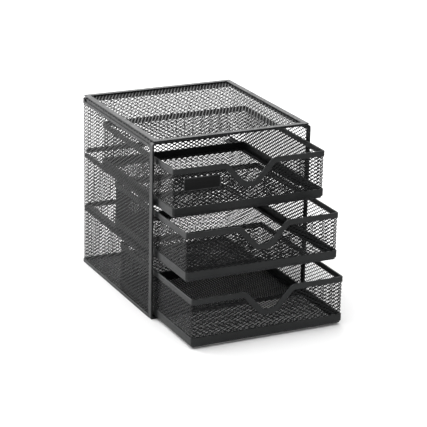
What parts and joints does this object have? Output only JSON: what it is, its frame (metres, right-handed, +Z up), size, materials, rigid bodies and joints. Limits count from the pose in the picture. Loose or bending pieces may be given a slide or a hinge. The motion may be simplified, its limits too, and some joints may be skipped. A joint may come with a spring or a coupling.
{
  "type": "mesh drawer desk organizer",
  "caption": "Open-fronted desk organizer of black expanded-metal mesh with folded steel edges; stacked mesh drawers with a finger dip slide out of its front.",
  "frame": {"origin": "on the plane that the cabinet stands on, at the centre of the rectangle that the cabinet and its furthest open drawer cover at rest", "axes": "+Z up, -Y towards the open front, the way the drawers slide out, +X to the viewer's right when facing the front"},
  "size_m": [0.1976, 0.3034, 0.21],
  "materials": {
    "mesh_steel": "black powder coat, satin",
    "strip_steel": "black powder coat, satin",
    "runner_steel": "black powder coat, satin, rubbed by the drawers",
    "name_plate": "black enamel, blank"
  },
  "bodies": {
    "cabinet": {"left_wall_mesh": "mesh_steel", "right_wall_mesh": "mesh_steel", "back_wall_mesh": "mesh_steel", "top_mesh": "mesh_steel", "top_edge_mesh": "mesh_steel", "floor_mesh": "mesh_steel", "top_rim": "strip_steel", "front_frame": "strip_steel", "upper_hem_left": "strip_steel", "upper_hem_right": "strip_steel", "upper_hem_back": "strip_steel", "lower_hem_left": "strip_steel", "lower_hem_right": "strip_steel", "lower_hem_back": "strip_steel", "upper_runner_left": "runner_steel", "upper_runner_right": "runner_steel", "upper_runner_back": "runner_steel", "middle_runner_left": "runner_steel", "middle_runner_right": "runner_steel", "middle_runner_back": "runner_steel"},
    "top_drawer": {"top_drawer_rim": "strip_steel", "top_drawer_base_band": "strip_steel", "top_drawer_skid_frame": "runner_steel", "top_drawer_front_mesh": "mesh_steel", "top_drawer_back_mesh": "mesh_steel", "top_drawer_left_mesh": "mesh_steel", "top_drawer_right_mesh": "mesh_steel", "top_drawer_floor_mesh": "mesh_steel", "top_drawer_name_plate": "name_plate"},
    "middle_drawer": {"middle_drawer_rim": "strip_steel", "middle_drawer_base_band": "strip_steel", "middle_drawer_skid_frame": "runner_steel", "middle_drawer_front_mesh": "mesh_steel", "middle_drawer_back_mesh": "mesh_steel", "middle_drawer_left_mesh": "mesh_steel", "middle_drawer_right_mesh": "mesh_steel", "middle_drawer_floor_mesh": "mesh_steel"},
    "bottom_drawer": {"bottom_drawer_rim": "strip_steel", "bottom_drawer_base_band": "strip_steel", "bottom_drawer_skid_frame": "runner_steel", "bottom_drawer_front_mesh": "mesh_steel", "bottom_drawer_back_mesh": "mesh_steel", "bottom_drawer_left_mesh": "mesh_steel", "bottom_drawer_right_mesh": "mesh_steel", "bottom_drawer_floor_mesh": "mesh_steel"}
  },
  "joints": [
    {"name": "top_drawer_slide", "type": "slide", "parent": "cabinet", "child": "top_drawer", "axis": [0, -1, 0], "range_m": [-0.0444, 0.1056]},
    {"name": "middle_drawer_slide", "type": "slide", "parent": "cabinet", "child": "middle_drawer", "axis": [0, -1, 0], "range_m": [-0.0807, 0.0693]},
    {"name": "bottom_drawer_slide", "type": "slide", "parent": "cabinet", "child": "bottom_drawer", "axis": [0, -1, 0], "range_m": [-0.097, 0.053]}
  ]
}
